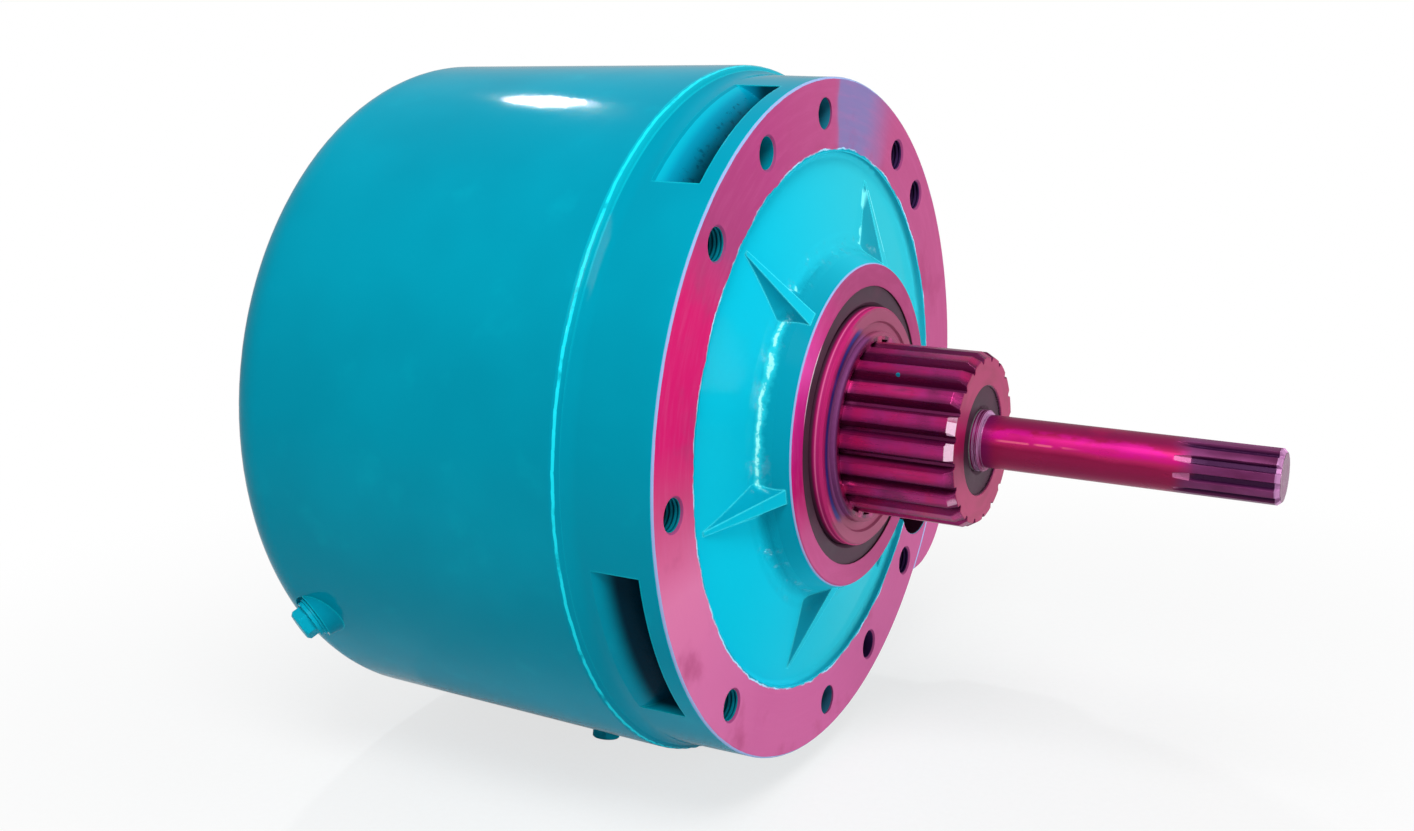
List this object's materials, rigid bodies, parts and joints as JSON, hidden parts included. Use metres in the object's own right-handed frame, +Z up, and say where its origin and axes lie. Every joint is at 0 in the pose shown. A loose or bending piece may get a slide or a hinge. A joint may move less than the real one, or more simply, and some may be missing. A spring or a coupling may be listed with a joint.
{
  "type": "planetary hoist gearbox",
  "caption": "Coaxial planetary hoist gearbox: round cast casing with mounting flange and side ear, hollow splined output shaft, long splined input shaft through it.",
  "frame": {"origin": "centre of the mounting flange's machined face, on the shafts' common axis", "axes": "+X along the shafts, out of the flange; +Z up as the gearbox stands in the picture; +Y completes a right-handed frame"},
  "size_m": [0.545, 0.4124, 0.4225],
  "materials": {
    "casing_paint": "gloss",
    "cover_paint": "gloss",
    "shaft_steel": "machined, tinted protective lacquer",
    "gear_steel": "ground",
    "carrier_iron": "machined",
    "bearing_steel": "polished",
    "bolt_steel": "black oxide",
    "plug_steel": "zinc plated",
    "seal_rubber": "matt",
    "bronze": "machined"
  },
  "bodies": {
    "housing": {"casing": "casing_paint", "ring_gear": "gear_steel", "ring_gear_dowels": "bearing_steel", "rear_cover": "cover_paint", "rear_cover_oring": "seal_rubber", "tie_bolts": "bolt_steel", "tie_bolt_washers": "plug_steel", "output_seal": "seal_rubber", "outer_spacer": "carrier_iron", "hub_circlip": "bolt_steel", "front_bearing_outer": "bearing_steel", "rear_bearing_outer": "bearing_steel", "tail_bearing_outer": "bearing_steel", "level_plug": "plug_steel", "level_plug_washer": "bronze", "drain_plug": "plug_steel", "drain_plug_washer": "bronze"},
    "output_unit": {"output_shaft": "shaft_steel", "output_carrier_plate": "carrier_iron", "output_carrier_screws": "bolt_steel", "stage2_pins": "bearing_steel", "stage2_washers": "bronze", "stage_thrust_ring": "bronze", "front_bearing_inner": "bearing_steel", "front_bearing_rollers": "bearing_steel", "rear_bearing_inner": "bearing_steel", "rear_bearing_rollers": "bearing_steel", "inner_spacer": "carrier_iron", "shaft_circlip": "bolt_steel", "input_seal": "seal_rubber", "input_bearing_outer": "bearing_steel"},
    "stage1_unit": {"stage1_carrier": "carrier_iron", "stage2_sun": "gear_steel", "stage1_carrier_plate": "carrier_iron", "stage1_carrier_screws": "bolt_steel", "stage1_pins": "bearing_steel", "stage1_washers": "bronze"},
    "input_unit": {"input_shaft": "shaft_steel", "stage1_sun": "gear_steel", "sun_key": "gear_steel", "sun_circlip": "bolt_steel", "input_bearing_inner": "bearing_steel", "input_bearing_rollers": "bearing_steel", "tail_bearing_inner": "bearing_steel", "tail_bearing_rollers": "bearing_steel"},
    "stage2_planet_unit_1": {"stage2_planet_1": "gear_steel", "stage2_bush_1": "bronze"},
    "stage2_planet_unit_2": {"stage2_planet_2": "gear_steel", "stage2_bush_2": "bronze"},
    "stage2_planet_unit_3": {"stage2_planet_3": "gear_steel", "stage2_bush_3": "bronze"},
    "stage2_planet_unit_4": {"stage2_planet_4": "gear_steel", "stage2_bush_4": "bronze"},
    "stage1_planet_unit_1": {"stage1_planet_1": "gear_steel", "stage1_bush_1": "bronze"},
    "stage1_planet_unit_2": {"stage1_planet_2": "gear_steel", "stage1_bush_2": "bronze"},
    "stage1_planet_unit_3": {"stage1_planet_3": "gear_steel", "stage1_bush_3": "bronze"}
  },
  "joints": [
    {"name": "output_spin", "type": "hinge", "parent": "housing", "child": "output_unit", "pos_m": [0, 0, 0], "axis": [1, 0, 0], "continuous": true},
    {"name": "stage1_carrier_spin", "type": "hinge", "parent": "housing", "child": "stage1_unit", "pos_m": [0, 0, 0], "axis": [1, 0, 0], "continuous": true},
    {"name": "input_spin", "type": "hinge", "parent": "housing", "child": "input_unit", "pos_m": [0, 0, 0], "axis": [1, 0, 0], "continuous": true},
    {"name": "stage2_planet_1_spin", "type": "hinge", "parent": "output_unit", "child": "stage2_planet_unit_1", "pos_m": [-0.1475, 0.095, 0], "axis": [1, 0, 0], "continuous": true},
    {"name": "stage2_planet_2_spin", "type": "hinge", "parent": "output_unit", "child": "stage2_planet_unit_2", "pos_m": [-0.1475, 0, 0.095], "axis": [1, 0, 0], "continuous": true},
    {"name": "stage2_planet_3_spin", "type": "hinge", "parent": "output_unit", "child": "stage2_planet_unit_3", "pos_m": [-0.1475, -0.095, 0], "axis": [1, 0, 0], "continuous": true},
    {"name": "stage2_planet_4_spin", "type": "hinge", "parent": "output_unit", "child": "stage2_planet_unit_4", "pos_m": [-0.1475, 0, -0.095], "axis": [1, 0, 0], "continuous": true},
    {"name": "stage1_planet_1_spin", "type": "hinge", "parent": "stage1_unit", "child": "stage1_planet_unit_1", "pos_m": [-0.231, 0.09, 0], "axis": [1, 0, 0], "continuous": true},
    {"name": "stage1_planet_2_spin", "type": "hinge", "parent": "stage1_unit", "child": "stage1_planet_unit_2", "pos_m": [-0.231, -0.045, 0.07794], "axis": [1, 0, 0], "continuous": true},
    {"name": "stage1_planet_3_spin", "type": "hinge", "parent": "stage1_unit", "child": "stage1_planet_unit_3", "pos_m": [-0.231, -0.045, -0.07794], "axis": [1, 0, 0], "continuous": true}
  ],
  "couplings": [
    {"joint": "stage1_carrier_spin", "follows": "output_spin", "ratio": 4.75},
    {"joint": "input_spin", "follows": "output_spin", "ratio": 28.5},
    {"joint": "stage2_planet_1_spin", "follows": "output_spin", "ratio": -2.7273},
    {"joint": "stage2_planet_2_spin", "follows": "output_spin", "ratio": -2.7273},
    {"joint": "stage2_planet_3_spin", "follows": "output_spin", "ratio": -2.7273},
    {"joint": "stage2_planet_4_spin", "follows": "output_spin", "ratio": -2.7273},
    {"joint": "stage1_planet_1_spin", "follows": "output_spin", "ratio": -11.875},
    {"joint": "stage1_planet_2_spin", "follows": "output_spin", "ratio": -11.875},
    {"joint": "stage1_planet_3_spin", "follows": "output_spin", "ratio": -11.875}
  ]
}
